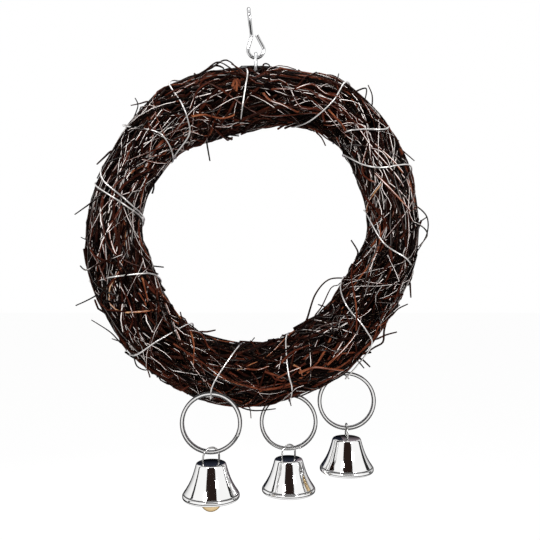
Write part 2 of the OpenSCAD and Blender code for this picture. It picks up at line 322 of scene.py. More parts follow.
def linked(name: str, data: bpy.types.ID) -> Object:
    """Makes an object and puts it into the scene.

    Args:
        name: Its name.
        data: Its mesh, lamp or camera.

    Returns:
        The object.
    """
    thing = bpy.data.objects.new(name, data)
    bpy.context.scene.collection.objects.link(thing)
    return thing


def dressed(name: str, shape: BMesh, material: Material) -> Object:
    """Makes an object of a shape and dresses it.

    Args:
        name: The object's name.
        shape: Its shape, which is freed.
        material: Its finish.

    Returns:
        The object.
    """
    mesh = bpy.data.meshes.new(name)
    shape.to_mesh(mesh)
    shape.free()
    mesh.materials.append(material)
    return linked(name, mesh)


def placed(
    name: str,
    shape: BMesh,
    material: Material,
    body: str,
    nodes: Sequence[str] = (),
) -> None:
    """Makes a finished piece of a shape, sets it on its body and reports it.

    Args:
        name: The piece's name.
        shape: Its shape, which is freed.
        material: Its finish.
        body: The body that it moves with.
        nodes: The CAD nodes that it stands for.
    """
    piece = dressed(name, shape, material)
    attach(piece, body)
    if nodes:
        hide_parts(*nodes)
    LOG.info("%s: %d faces on body %s", name, len(piece.data.polygons), body)


class Nodes:
    """Adds nodes to a tree and joins them, so that a finish reads as a list of steps."""

    def __init__(self, tree: NodeTree) -> None:
        """Keeps the tree and clears it."""
        self.tree = tree
        tree.nodes.clear()

    def add(self, kind: str, inputs: Optional[dict] = None, **settings: object) -> Node:
        """Adds a node.

        Args:
            kind: The node's type, without the words that every shader node's type starts with.
            inputs: Input names or numbers, each with a value or another node's output.
            settings: Properties of the node.

        Returns:
            The node.
        """
        node = self.tree.nodes.new(kind if kind.startswith("NodeGroup") else f"ShaderNode{kind}")
        for key, value in settings.items():
            setattr(node, key, value)
        for key, value in (inputs or {}).items():
            if isinstance(value, NodeSocket):
                self.tree.links.new(value, node.inputs[key])
            else:
                node.inputs[key].default_value = value
        return node

    def math(self, operation: str, a: object, b: object = 0.0) -> NodeSocket:
        """Adds a Math node on one or two values or outputs."""
        return self.add("Math", {0: a, 1: b}, operation=operation).outputs[0]

    def centred(self, value: NodeSocket, share: float) -> NodeSocket:
        """Makes a pattern from 0 to 1 swing about nought instead, by a share of its size."""
        return self.math("MULTIPLY", self.math("SUBTRACT", value, 0.5), share)

    def step(self, value: NodeSocket, low: float, high: float) -> NodeSocket:
        """Adds a soft step from 0 at a low value to 1 at a high one."""
        inputs = {0: value, 1: low, 2: high}
        return self.add("MapRange", inputs, interpolation_type="SMOOTHSTEP").outputs[0]

    def mixed(self, share: object, base: object, other: object) -> NodeSocket:
        """Mixes a share of another colour into a base colour."""
        return self.add("Mix", {0: share, 6: base, 7: other}, data_type="RGBA").outputs[2]

    def ramp(self, value: NodeSocket, stops: Sequence[tuple[float, tuple]]) -> NodeSocket:
        """Adds a colour ramp.

        Args:
            value: What it reads.
            stops: The place and colour of each stop.

        Returns:
            Its colour output.
        """
        node = self.add("ValToRGB", {0: value})
        elements = node.color_ramp.elements
        while len(elements) < len(stops):
            elements.new(1.0)
        for element, (place, colour) in zip(elements, stops):
            element.position = place
            element.color = (*colour, 1.0)
        return node.outputs[0]

    def noise(
        self, place: NodeSocket, scale: NodeSocket, detail: float, roughness: float
    ) -> NodeSocket:
        """Adds a noise pattern."""
        inputs = {"Vector": place, "Scale": scale, "Detail": detail, "Roughness": roughness}
        return self.add("TexNoise", inputs).outputs[0]

    def attribute(self, name: str) -> NodeSocket:
        """Reads a number that the mesh keeps for each of its points."""
        return self.add("Attribute", attribute_name=name).outputs["Fac"]

    def along(self) -> bpy.types.NodeOutputs:
        """Reads a rolled tube's UV map: the share of the way round, and the length along."""
        return self.add("SeparateXYZ", {0: self.add("UVMap", uv_map="along").outputs[0]}).outputs

    def place(self) -> NodeSocket:
        """Reads the place in the object."""
        return self.add("TexCoord").outputs["Object"]

    def bump(self, height: NodeSocket, mm: float, strength: float) -> NodeSocket:
        """Adds a bump of a depth in millimetres, and gives its normal."""
        inputs = {"Strength": strength, "Distance": mm * MM, "Height": height}
        return self.add("Bump", inputs).outputs[0]

    def shaded(self, inputs: dict) -> None:
        """Closes a material with its Principled shader."""
        self.add("OutputMaterial", {0: self.add("BsdfPrincipled", inputs).outputs[0]})

    def seen_by(self, *rays: str) -> NodeSocket:
        """Gives 1 to the named kinds of ray, and 0 to the others.

        Args:
            rays: The names of the Light Path node's outputs.

        Returns:
            The output.
        """
        path = self.add("LightPath").outputs
        found = path[rays[0]]
        for ray in rays[1:]:
            found = self.math("MAXIMUM", found, path[ray])
        return found


def new_material(name: str) -> tuple[Material, Nodes]:
    """Starts a material.

    Args:
        name: Its name.

    Returns:
        The material and the means to add nodes to it.
    """
    material = bpy.data.materials.new(name)
    material.use_nodes = True
    return material, Nodes(material.node_tree)


def new_group(name: str, inputs: dict, outputs: Sequence[str]) -> tuple[NodeTree, Nodes]:
    """Starts a shader node group of numbers.

    Args:
        name: The group's name.
        inputs: Its inputs, with their usual values.
        outputs: Its outputs.

    Returns:
        The group and the means to add nodes to it.
    """
    group = bpy.data.node_groups.new(name, "ShaderNodeTree")
    for key, value in inputs.items():
        socket = group.interface.new_socket(name=key, in_out="INPUT", socket_type="NodeSocketFloat")
        socket.default_value = value
    for key in outputs:
        group.interface.new_socket(name=key, in_out="OUTPUT", socket_type="NodeSocketFloat")
    return group, Nodes(group)


def bark_grain_group(
    apart: float = 97.0,
    pore: float = 0.16,
    pore_stretch: float = 0.8,
    furrows: tuple = (0.12, 3.0, 0.6),
    blotches: tuple = (1.0, 2.0, 0.55),
    runs: tuple = (0.045, 2.0, 0.5),
) -> NodeTree:
    """Makes the pattern that runs along a twig.

    Its outputs are fine furrows, blotches, pale pores, how near the outermost line is, and the
    stretches of that line that get a painted highlight.

    Args:
        apart: How far apart the patterns of two strands may lie.
        pore: The radius of a pore, in cells of its pattern.
        pore_stretch: The scale of that pattern along the twig.
        furrows: The scale along the twig, the detail and the roughness of the furrows.
        blotches: The same for the blotches.
        runs: The same for the stretches that get a painted highlight.

    Returns:
        The group, whose pattern has no seam where the UV map closes.
    """
    group, nodes = new_group(
        "bark_grain",
        {"Furrow Scale": 3.0, "Blotch Scale": 0.12, "Pore Scale": 0.9, "Run Scale": 1.1},
        ("Furrows", "Blotches", "Pores", "Crest", "Runs"),
    )
    start = nodes.add("NodeGroupInput").outputs
    uv = nodes.along()
    turn = nodes.math("MULTIPLY", uv[0], math.tau)
    strand = nodes.attribute("strand")

    def around(stretch: float) -> NodeSocket:
        """Gives a place on the twig.

        Args:
            stretch: Its scale along the twig, where less than 1 draws a pattern out.

        Returns:
            The output.
        """
        over = nodes.math("ADD", nodes.math("SINE", turn), nodes.math("MULTIPLY", strand, apart))
        place = {0: nodes.math("COSINE", turn), 1: over, 2: nodes.math("MULTIPLY", uv[1], stretch)}
        return nodes.add("CombineXYZ", place).outputs[0]

    def grain(scale: str, stretch: float, detail: float, roughness: float) -> NodeSocket:
        """Gives a noise pattern on the twig."""
        return nodes.noise(around(stretch), start[scale], detail, roughness)

    cells = {"Vector": around(pore_stretch), "Scale": start["Pore Scale"]}
    cells = nodes.add("TexVoronoi", cells, feature="F1").outputs["Distance"]
    nodes.add(
        "NodeGroupOutput",
        {
            0: grain("Furrow Scale", *furrows),
            1: grain("Blotch Scale", *blotches),
            2: nodes.math("LESS_THAN", cells, pore),
            3: nodes.math("COSINE", turn),
            4: grain("Run Scale", *runs),
        },
    )
    return group


def fine_wear_group(
    drawn: tuple = (1.0, 1.0, 0.18), scratch: tuple = (4.0, 0.7),
    smudge: tuple = (3.0, 0.6),
) -> NodeTree:
    """Makes the fine scratches and smudges of handled metal.

    Args:
        drawn: The scratches' scale along each axis.
        scratch: The detail and the roughness of the scratches.
        smudge: The same for the smudges.

    Returns:
        The group.
    """
    group, nodes = new_group(
        "fine_wear", {"Scratch Scale": 900.0, "Smudge Scale": 120.0}, ("Scratches", "Smudges")
    )
    start = nodes.add("NodeGroupInput").outputs
    place = nodes.place()
    stretched = nodes.add("Mapping", {"Vector": place, "Scale": drawn}).outputs[0]
    scratches = nodes.noise(stretched, start["Scratch Scale"], *scratch)
    smudges = nodes.noise(place, start["Smudge Scale"], *smudge)
    nodes.add("NodeGroupOutput", {0: scratches, 1: smudges})
    return group


@dataclass(frozen=True)
class BarkFinish:
    """Smooth dark bark with a painted highlight in pale broken lines along its crest, more at the
    sides.

    A twig gets the painted highlight where its crest, a stretch of that, its tone and its strand
    all lie past their pair of steps. The side numbers draw these painted stretches out towards the
    swing's left and right.
    """

    name: str = "vine_bark"
    stops: tuple = (
        (0.0, (0.001, 0.0005, 0.0004)),
        (0.3, (0.003, 0.0012, 0.001)),
        (0.55, (0.019, 0.0046, 0.0026)),
        (0.75, (0.068, 0.0152, 0.0078)),
        (0.92, (0.215, 0.064, 0.028)),
        (1.0, (0.45, 0.25, 0.12)),
    )
    blotch_share: float = 0.55
    furrow_share: float = 0.3
    pore: tuple = (0.3, 0.19, 0.12, 1.0)
    pore_share: float = 0.35
    # The colour, share and steps of the painted highlight along each twig's crest.
    painted_highlight: tuple = (0.96, 0.88, 0.84, 1.0)
    painted_highlight_share: float = 0.95
    painted_highlight_crest: tuple = (0.89, 0.98)
    painted_highlight_run: tuple = (0.51, 0.56)
    painted_highlight_tone: tuple = (0.12, 0.35)
    painted_highlight_strand: tuple = (0.3, 0.45)
    side_scale: float = 10.0
    side_start: float = 0.47
    side_share: float = 0.14
    roughness: float = 0.3
    roughness_share: float = 0.2
    specular: float = 0.02
    bump_mm: float = 0.08
    bump_strength: float = 0.7

    def material(self, grain: NodeTree) -> Material:
        """Builds the bark material.

        Args:
            grain: The bark's grain group.

        Returns:
            The material.
        """
        material, nodes = new_material(self.name)
        pattern = nodes.add("Group", node_tree=grain).outputs
        tone = nodes.attribute("tone")
        shade = nodes.math("ADD", tone, nodes.centred(pattern["Blotches"], self.blotch_share))
        shade = nodes.math("ADD", shade, nodes.centred(pattern["Furrows"], self.furrow_share))
        pores = nodes.math("MULTIPLY", pattern["Pores"], self.pore_share)
        colour = nodes.mixed(pores, nodes.ramp(shade, self.stops), self.pore)
        # Painted highlight: pale broken lines along each twig's crest, drawn out towards the left
        # and right.
        out = nodes.math("ABSOLUTE", nodes.add("SeparateXYZ", {0: nodes.place()}).outputs[0])
        out = nodes.math("SUBTRACT", nodes.math("MULTIPLY", out, self.side_scale), self.side_start)
        runs = nodes.math("ADD", pattern["Runs"], nodes.math("MULTIPLY", out, self.side_share))
        crest = nodes.step(pattern["Crest"], *self.painted_highlight_crest)
        painted_highlight = nodes.math("MULTIPLY", crest, self.painted_highlight_share)
        for value, steps in (
            (runs, self.painted_highlight_run),
            (tone, self.painted_highlight_tone),
            (nodes.attribute("strand"), self.painted_highlight_strand),
        ):
            painted_highlight = nodes.math("MULTIPLY", painted_highlight, nodes.step(value, *steps))
        smudge = nodes.centred(pattern["Blotches"], self.roughness_share)
        bump = nodes.bump(pattern["Furrows"], self.bump_mm, self.bump_strength)
        # The painted highlight is mixed into the bark's colour.
        nodes.shaded(
            {
                "Base Color": nodes.mixed(painted_highlight, colour, self.painted_highlight),
                "Roughness": nodes.math("ADD", smudge, self.roughness),
                "Specular IOR Level": self.specular,
                "Normal": bump,
            }
        )
        return material


@dataclass(frozen=True)
class MetalFinish:
    """A metal with fine scratches and smudges, and painted shade where its piece's attribute puts
    it.

    The edge is how bright it is where it is seen edge-on.
    """

    name: str
    colour: tuple
    roughness: float
    wear: float = 0.08
    smudged: tuple = (0.3, 0.7)
    bump_mm: float = 0.004
    bump_strength: float = 0.4
    metallic: float = 1.0
    edge: float = 1.0
    painted_shade: float = 0.0
    painted_shade_colour: tuple = (0.012, 0.011, 0.012, 1.0)

    def painted_shade_lines(self, nodes: Nodes) -> NodeSocket:
        """Gives how much painted shade each place has, by its piece's attribute."""
        return nodes.attribute("painted_shade")

    def material(self, wear: NodeTree) -> Material:
        """Builds the metal material.

        Args:
            wear: The group of fine wear.

        Returns:
            The material.
        """
        material, nodes = new_material(self.name)
        pattern = nodes.add("Group", node_tree=wear).outputs
        worn = tuple(c * (1 - self.wear) for c in self.colour)
        colour = nodes.ramp(pattern["Smudges"], tuple(zip(self.smudged, (worn, self.colour))))
        metallic = self.metallic
        # Painted shade: a near-black colour, with less metal, mixed in where the lines lie.
        if self.painted_shade:
            dark = nodes.math("MULTIPLY", self.painted_shade_lines(nodes), self.painted_shade)
            colour = nodes.mixed(dark, colour, self.painted_shade_colour)
            less = nodes.math("MULTIPLY", dark, self.metallic)
            metallic = nodes.math("SUBTRACT", self.metallic, less)
        smudge = nodes.centred(pattern["Smudges"], self.wear)
        bump = nodes.bump(pattern["Scratches"], self.bump_mm, self.bump_strength)
        nodes.shaded(
            {
                "Base Color": colour,
                "Metallic": metallic,
                "Roughness": nodes.math("ADD", smudge, self.roughness),
                "Specular IOR Level": 0.0,
                "Specular Tint": (self.edge, self.edge, self.edge, 1.0),
                "Normal": bump,
            }
        )
        return material


@dataclass(frozen=True)
class BandFinish(MetalFinish):
    """A metal band with painted shade along its rounded corners, which its UV map tells."""

    corner: tuple = (0.2, 0.38)
    rim: tuple = (0.93, 0.98)

    def painted_shade_lines(self, nodes: Nodes) -> NodeSocket:
        """Gives how near each place is to a corner of the band, with nought on its rim.

        Args:
            nodes: The material's nodes.

        Returns:
            The output.
        """
        turn = nodes.math("MULTIPLY", nodes.along()[0], math.tau)
        near = nodes.math("ABSOLUTE", nodes.math("SINE", turn))
        inside = nodes.math("SUBTRACT", 1.0, nodes.step(near, *self.rim))
        return nodes.math("MULTIPLY", nodes.step(near, *self.corner), inside)


METALS = (
    MetalFinish("hook_steel", (0.74, 0.74, 0.75), 0.09, edge=0.0),
    MetalFinish("hanging_ring_zinc", (0.86, 0.87, 0.88), 0.2, metallic=0.7, edge=0.0),
    MetalFinish("tie_wire_steel", (0.86, 0.83, 0.81), 0.3),
    # Painted shade: dark lines along the split rings' corners and round the bells.
    BandFinish("split_ring_steel", (0.9, 0.89, 0.88), 0.12, painted_shade=0.97),
    MetalFinish("bail_steel", (0.6, 0.59, 0.58), 0.15, edge=0.0),
    MetalFinish(
        "bell_nickel", (0.95, 0.945, 0.94), 0.05, wear=0.04, bump_mm=0.003, edge=0.0, painted_shade=0.92
    ),
    MetalFinish("clapper_wire_steel", (0.5, 0.47, 0.42), 0.3),
    MetalFinish("clapper_brass", (0.8, 0.6, 0.34), 0.28, edge=0.0),
)


def all_finishes(core_share: float = 0.5) -> Finishes:
    """Builds every finish of the swing once.

    Args:
        core_share: How light the painted-shade copy of the bark inside the bundle is, against the
            bark outside.

    Returns:
        Each finish's material, by the finish's name.
    """
    grain, wear = bark_grain_group(), fine_wear_group()
    # The bark inside the bundle is the same bark darkened: painted shade between the twigs.
    dark = tuple((place, tuple(c * core_share for c in tone)) for place, tone in BarkFinish.stops)
    barks = (BarkFinish(), BarkFinish("shaded_inner_bark", stops=dark, roughness=0.7, specular=0.0))
    finishes = {bark.name: bark.material(grain) for bark in barks}
    finishes.update({metal.name: metal.material(wear) for metal in METALS})
    return finishes


@dataclass(frozen=True)
class BundleShape:
    """Where the surface of the bundle lies, by the angle round the wreath."""

    outer: tuple = (
        96.1, 97.3, 100.0, 102.0, 103.6, 100.0, 99.4, 100.0, 101.7, 100.3, 98.5, 98.8,
        100.3, 100.8, 100.8, 102.0, 101.7, 102.0, 101.1, 98.5, 97.3, 94.4, 93.2, 95.3,
    )
    inner: tuple = (
        64.4, 65.9, 67.0, 70.0, 69.8, 66.7, 61.5, 59.7, 62.0, 65.2, 65.9, 67.0,
        66.2, 62.3, 62.6, 64.4, 65.0, 64.1, 62.9, 61.7, 58.8, 58.5, 57.0, 59.7,
    )
    deepest: float = 18.6
    skin: float = 0.5

    def edges(self, around: float) -> tuple[float, float]:
        """Gives the bundle's edges.

        Args:
            around: The angle round the wreath.

        Returns:
            The outer and the inner radius there.
        """
        place = (around % 360) / 360 * len(self.outer)
        i = int(place)
        return tuple(
            curve_value(*(table[(i + k) % len(table)] for k in (-1, 0, 1, 2)), place - i)
            for table in (self.outer, self.inner)
        )

    def outward(self, place: Vector) -> Vector:
        """Gives the direction from the middle of the bundle to a place.

        Args:
            place: The place.

        Returns:
            The direction.
        """
        offset = flat(place - WREATH_CENTRE)
        outer, inner = self.edges(math.degrees(math.atan2(offset.z, offset.x)))
        return place - WREATH_CENTRE - offset.normalized() * ((outer + inner) / 2)

    def place(self, around: float, side: float, depth: float, lift: float = 0.0) -> Vector:
        """Gives a place on or in the bundle.

        Args:
            around: The angle round the wreath.
            side: The angle round the bundle.
            depth: 0 is the bundle's middle and 1 its surface.
            lift: How far it stands off from there.

        Returns:
            The place in millimetres.
        """
        outer, inner = self.edges(around)
        half = (outer - inner) / 2 - self.skin
        around, side = math.radians(around), math.radians(side)
        radius = (outer + inner) / 2 + (half * depth + lift) * math.cos(side)
        back = (min(half, self.deepest) * depth + lift) * math.sin(side)
        return WREATH_CENTRE + Vector((radius * math.cos(around), back, radius * math.sin(around)))


@dataclass(frozen=True)
class Clearings:
    """The room that the hanging ring and the split rings need in the bundle."""

    link_centre: Vector
    link_r: float
    ring_pivots: tuple
    wreath_r: float = 81.7
    bundle_r: float = 17.0
    link_wire: float = 1.6
    link_lowest: float = 1.0
    link_reach: float = 3.0
    link_swing: float = math.radians(30)
    link_fade: float = 9.0
    link_shown: float = 7.2
    link_open: float = 1.5
    link_slope: float = 0.3
    ring_half: float = 2.8
    ring_reach: float = 26.0

    def cleared(self, place: Vector, radius: float) -> Vector:
        """Moves a twig's point out of the rings' room.

        Args:
            place: The point.
            radius: The twig's radius there.

        Returns:
            The point, moved where it has to be.
        """
        place = self.beside_link(place, radius)
        for pivot in self.ring_pivots:
            place = self.beside_ring(place, radius, pivot)
        return place

    def beside_link(self, place: Vector, radius: float) -> Vector:
        """Moves a point to the inside or the outside of the hanging ring's wire.

        The room follows the ring through its swing, and the ring's front stays in sight.

        Args:
            place: The point.
            radius: The twig's radius there.

        Returns:
            The point, moved where it has to be.
        """
        from_pivot = place - self.link_centre + Vector((0, 0, self.link_r))
        tilt = math.atan2(from_pivot.x, max(from_pivot.z, self.link_lowest))
        turn = Matrix.Rotation(max(-self.link_swing, min(self.link_swing, tilt)), 3, "Y")
        upright = turn.transposed() @ from_pivot
        offset = Vector((0, upright.y, upright.z - self.link_r))
        span = offset.length
        if span < self.link_r:
            wanted = min(span, self.link_r - self.link_wire - radius)
        else:
            wanted = max(span, self.link_r + self.link_wire + radius)
        weight = fade(abs(upright.x) - self.link_reach - radius, self.link_fade)
        moved = place + turn @ offset.normalized() * (wanted - span) * weight
        ahead = self.link_centre.y - moved.y
        if ahead > 0 and span >= self.link_r:
            highest = self.link_centre.z - self.link_shown - self.link_slope * ahead - radius
            weight = fade(abs(place.x - self.link_centre.x) - self.link_open, self.link_fade)
            moved.z += min(0.0, highest - moved.z) * weight
        return moved

    def beside_ring(self, place: Vector, radius: float, pivot: Vector) -> Vector:
        """Holds a point inside the bundle's plain surface where a split ring hangs beside it.

        Args:
            place: The point.
            radius: The twig's radius there.
            pivot: The place that the split ring hangs from.

        Returns:
            The point, moved where it has to be.
        """
        near = flat(place - pivot).length
        if near > self.ring_reach or abs(place.y - pivot.y) > self.ring_half + radius:
            return place
        middle = WREATH_CENTRE + flat(place - WREATH_CENTRE).normalized() * self.wreath_r
        out = place - middle
        return middle + out.normalized() * min(out.length, self.bundle_r - radius)


@dataclass(frozen=True)
class TwigFamily:
    """One kind of twig in the bundle, and how it lies."""

    count: int
    length: tuple
    diameter: tuple
    depth: tuple
    winding: tuple
    wave: float
    lift: float
    tone: tuple
    step: float
    against_share: float = 0.3
    corners: int = 5


@dataclass
class TwigMaker:
    """Makes twigs on a bundle, the same ones each time."""

    shape: BundleShape
    clearings: Clearings
    seed: int
    middle_r: float = 82.0
    least_steps: int = 5
    waves: tuple = (0.6, 2.2)
    wave_share: tuple = (0.3, 1.0)
    dip: float = 0.05
    dip_waves: float = 1.5
    end_share: float = 0.22
    curl: float = 14
    knot_gap: tuple = (14, 26)
    knot_swell: float = 0.14
    knot_sharpness: int = 8
    taper: float = 0.4

    def __post_init__(self) -> None:
        """Starts the seeded choices."""
        self.random = random.Random(self.seed)

    def twig(
        self, points: Sequence[Vector], radii: Sequence[float], corners: int, tone: float
    ) -> BMesh:
        """Makes one twig along a line.

        Args:
            points: The line.
            radii: The radius at each point.
            corners: The corners of its section.
            tone: How light its bark is, from 0 to 1.

        Returns:
            The twig.
        """
        clear = [self.clearings.cleared(p, r) for p, r in zip(points, radii)]
        outward = [self.shape.outward(p) for p in clear]
        bm = rolled_tube(clear, radii, round_section(corners), faced=outward)
        for name, value in (("tone", tone), ("strand", self.random.random())):
            layer = bm.verts.layers.float.new(name)
            for vert in bm.verts:
                vert[layer] = value
        return bm

    def wound(self, family: TwigFamily) -> BMesh:
        """Makes one twig that winds along the bundle.

        Args:
            family: The kind of twig.

        Returns:
            The twig.
        """
        rnd = self.random
        length = rnd.uniform(*family.length)
        radius = rnd.uniform(*family.diameter) / 2
        winding = rnd.uniform(*family.winding)
        winding *= -1 if rnd.random() < family.against_share else 1
        start = rnd.uniform(0, 360)
        side = rnd.uniform(-180, 180)
        depth = rnd.uniform(*family.depth)
        turn = rnd.choice((-1, 1))
        waves, phase = rnd.uniform(*self.waves), rnd.uniform(0, math.tau)
        wave = family.wave * rnd.uniform(*self.wave_share)
        dip, dip_phase = rnd.uniform(0.0, self.dip), rnd.uniform(0, math.tau)
        lifts = [max(0.0, rnd.gauss(0, 1)) * family.lift for _ in range(2)]
        curls = [rnd.uniform(-self.curl, self.curl) for _ in range(2)]
        knot_gap, knot_phase = rnd.uniform(*self.knot_gap), rnd.uniform(0, math.tau)
        steps = max(self.least_steps, round(length / family.step))
        span = math.degrees(length / self.middle_r) * turn
        points, radii = [], []
        for i in range(steps + 1):
            t = i / steps
            ends = [max(0.0, 1 - end / self.end_share) ** 2 for end in (t, 1 - t)]
            sway = wave * math.sin(math.tau * waves * t + phase)
            across = side + winding * span * (t - 0.5) + sway
            across += ends[0] * curls[0] + ends[1] * curls[1]
            share = depth + dip * math.sin(math.tau * self.dip_waves * t + dip_phase)
            lift = ends[0] * lifts[0] + ends[1] * lifts[1] - radius
            points.append(self.shape.place(start + span * (t - 0.5), across, share, lift))
            knot = max(0.0, math.cos(math.tau * t * length / knot_gap + knot_phase))
            knot = 1 + self.knot_swell * knot ** self.knot_sharpness
            radii.append(radius * (1 - self.taper * t) * knot)
        return self.twig(points, radii, family.corners, rnd.triangular(*family.tone))

    def family(self, family: TwigFamily) -> BMesh:
        """Makes all the twigs of a family.

        Args:
            family: The kind of twig.

        Returns:
            The twigs, as one shape.
        """
        whole = bmesh.new()
        for _ in range(family.count):
            added(whole, self.wound(family))
        return whole


@dataclass
class Wreath:
    """The bundle of twigs: a middle with painted shade, and the vines and shoots wound round it."""

    shape: BundleShape
    clearings: Clearings
    core_depth: float = 0.78
    core_most: float = 14.0
    core_rings: int = 120
    core_corners: int = 28
    vines: int = 4
    # The inner twigs' tones lie near black: painted shade in the gaps between the outer twigs.
    inner: TwigFamily = TwigFamily(
        count=280, length=(90, 200), diameter=(2.0, 3.0), depth=(0.8, 0.9), winding=(-0.6, 1.6),
        wave=10, lift=0.0, tone=(0.0, 0.22, 0.04), step=10.0,
    )
    outer: TwigFamily = TwigFamily(
        count=150, length=(60, 180), diameter=(1.3, 2.3), depth=(0.91, 1.0), winding=(-1.0, 2.8),
        wave=22, lift=0.9, tone=(0.0, 0.88, 0.16), step=7.0,
    )
    fine: TwigFamily = TwigFamily(
        count=190, length=(30, 90), diameter=(0.9, 1.5), depth=(0.98, 1.03), winding=(-5, 7),
        wave=34, lift=2.0, tone=(0.05, 0.96, 0.42), step=4.0,
    )
    inner_seed: int = 11
    outer_seed: int = 21
    fine_seed: int = 31

    def build(self, finishes: Finishes) -> None:
        """Builds the bundle and dresses it.

        Args:
            finishes: The finishes to use.
        """
        body = Body.WREATH.value
        core = self.core()
        # The middle gets the darkened bark, as painted shade.
        placed("bundle_core", core, finishes["shaded_inner_bark"], body, ["inner_twig_bundle"])
        groups = [("inner_twigs", self.inner, self.inner_seed, "twig", [])]
        for i in range(self.vines):
            name, node = f"wound_twigs_{i + 1}", f"outer_vine_{i + 1}"
            groups.append((name, self.outer, self.outer_seed + i, "vine", [node]))
        groups.append(("fine_shoots", self.fine, self.fine_seed, "vine", ["loose_shoots"]))
        for name, family, seed, slot, nodes in groups:
            whole = TwigMaker(self.shape, self.clearings, seed).family(family)
            placed(name, whole, finishes["vine_bark"], body, nodes)

    def core(self) -> BMesh:
        """Makes the middle of the bundle, which shows only between the twigs.

        Returns:
            Its shape.
        """
        points, radii = [], []
        for i in range(self.core_rings):
            outer, inner = (
                self.shape.place(360 * i / self.core_rings, side, self.core_depth)
                for side in (0, 180)
            )
            points.append(outer.lerp(inner, 0.5))
            radii.append(min((outer - inner).length / 2, self.core_most))
        section = round_section(self.core_corners)
        bm = rolled_tube(points, radii, section, closed=True, first=Vector((0, 1, 0)))
        for vert in bm.verts:
            vert.co = self.clearings.cleared(vert.co / MM, 0.0) * MM
        return bm


